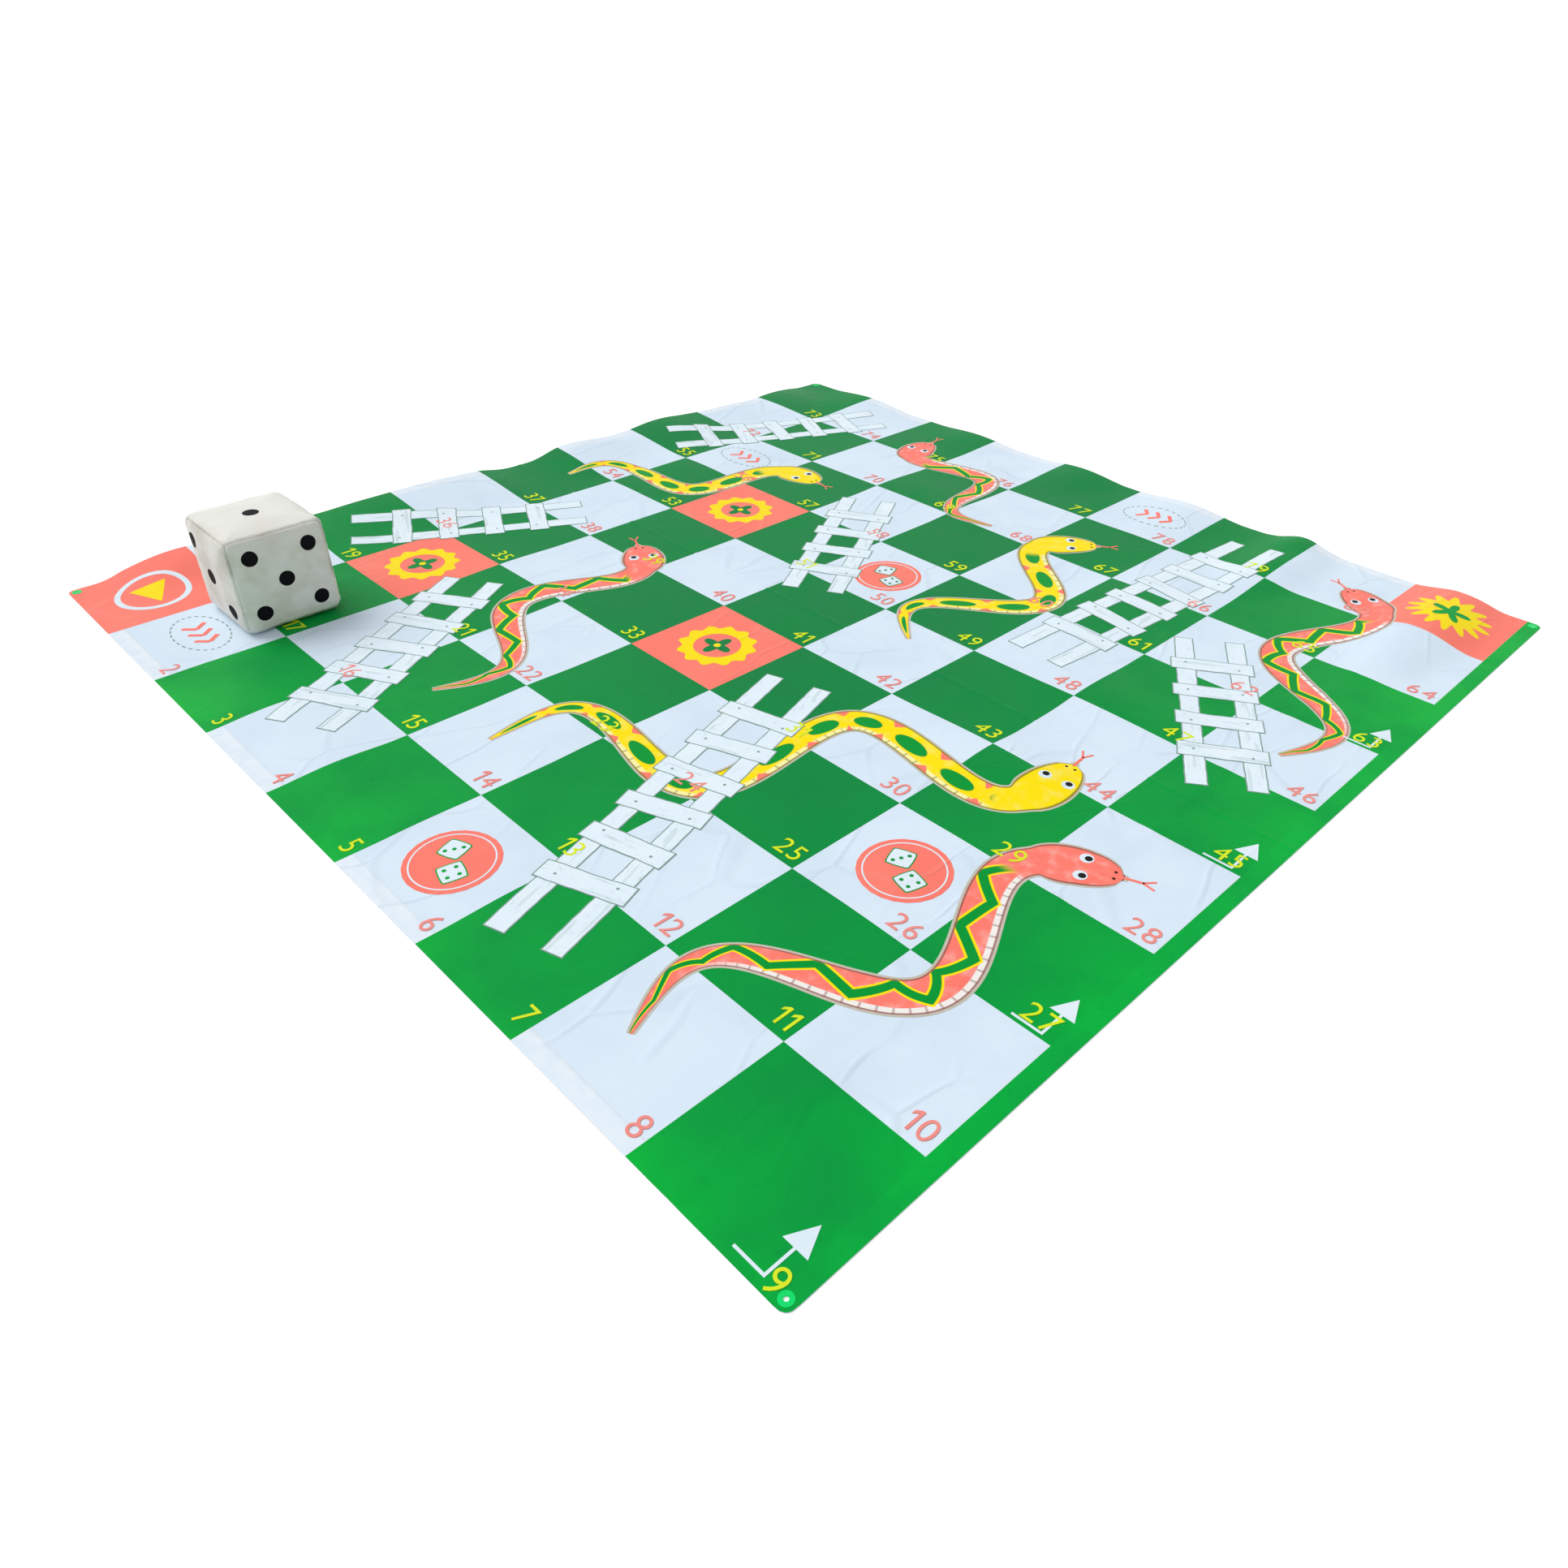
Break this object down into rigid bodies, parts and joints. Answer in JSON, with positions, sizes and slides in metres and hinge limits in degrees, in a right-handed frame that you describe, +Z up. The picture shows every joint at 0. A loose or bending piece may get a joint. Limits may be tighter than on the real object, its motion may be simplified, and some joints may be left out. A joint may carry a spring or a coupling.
{
  "type": "giant snakes and ladders floor mat with soft die",
  "caption": "Large flexible printed floor mat of numbered squares with snakes and ladders, hemmed and eyeletted at its corners, folding across the middle, with a soft foam die.",
  "frame": {"origin": "on the ground under the middle of the mat", "axes": "+X along the first row of squares, +Y up the rows, +Z up"},
  "size_m": [3, 2.972, 0.2772],
  "materials": {
    "coated_sheet": "satin",
    "green_ink": "satin",
    "coral_ink": "satin",
    "yellow_ink": "satin",
    "pale_ink": "satin",
    "eyelet_metal": "satin",
    "foam": "matte",
    "die_cover": "matte",
    "pip_black": "matte"
  },
  "bodies": {
    "near_half": {"sheet_near": "coated_sheet", "hem_near": "coated_sheet", "hem_left_near": "coated_sheet", "hem_right_near": "coated_sheet", "eyelets_near": "eyelet_metal", "washers_near": "eyelet_metal", "green_ink_near": "green_ink", "coral_ink_near": "coral_ink", "yellow_rings_near": "yellow_ink", "snake_coral_near_right": "coral_ink", "snake_yellow_near": "yellow_ink", "snake_coral_near_left": "coral_ink", "ladder_ink_centre": "pale_ink", "ladder_ink_left": "pale_ink", "ladder_ink_edge": "pale_ink"},
    "far_half": {"sheet_far": "coated_sheet", "hem_far": "coated_sheet", "hem_left_far": "coated_sheet", "hem_right_far": "coated_sheet", "eyelets_far": "eyelet_metal", "washers_far": "eyelet_metal", "green_ink_far": "green_ink", "coral_ink_far": "coral_ink", "yellow_rings_far": "yellow_ink", "snake_yellow_far_left": "yellow_ink", "snake_coral_far_left": "coral_ink", "snake_yellow_far_right": "yellow_ink", "snake_coral_far_right": "coral_ink", "ladder_ink_right": "pale_ink", "ladder_ink_middle": "pale_ink", "ladder_ink_far": "pale_ink", "ladder_ink_corner": "pale_ink"},
    "die": {"die_core": "foam", "die_panel_one": "die_cover", "die_panel_two": "die_cover", "die_panel_three": "die_cover", "die_panel_four": "die_cover", "die_panel_five": "die_cover", "die_panel_six": "die_cover", "die_pips_one": "pip_black", "die_pips_two": "pip_black", "die_pips_three": "pip_black", "die_pips_four": "pip_black", "die_pips_five": "pip_black", "die_pips_six": "pip_black"}
  },
  "joints": [
    {"name": "mat_fold", "type": "hinge", "parent": "near_half", "child": "far_half", "pos_m": [0, 0, 0.00135], "axis": [1, 0, 0], "range_deg": [0, 150]},
    {"name": "die_lift", "type": "slide", "parent": "near_half", "child": "die", "axis": [0, 0, 1], "range_m": [0, 1]}
  ]
}
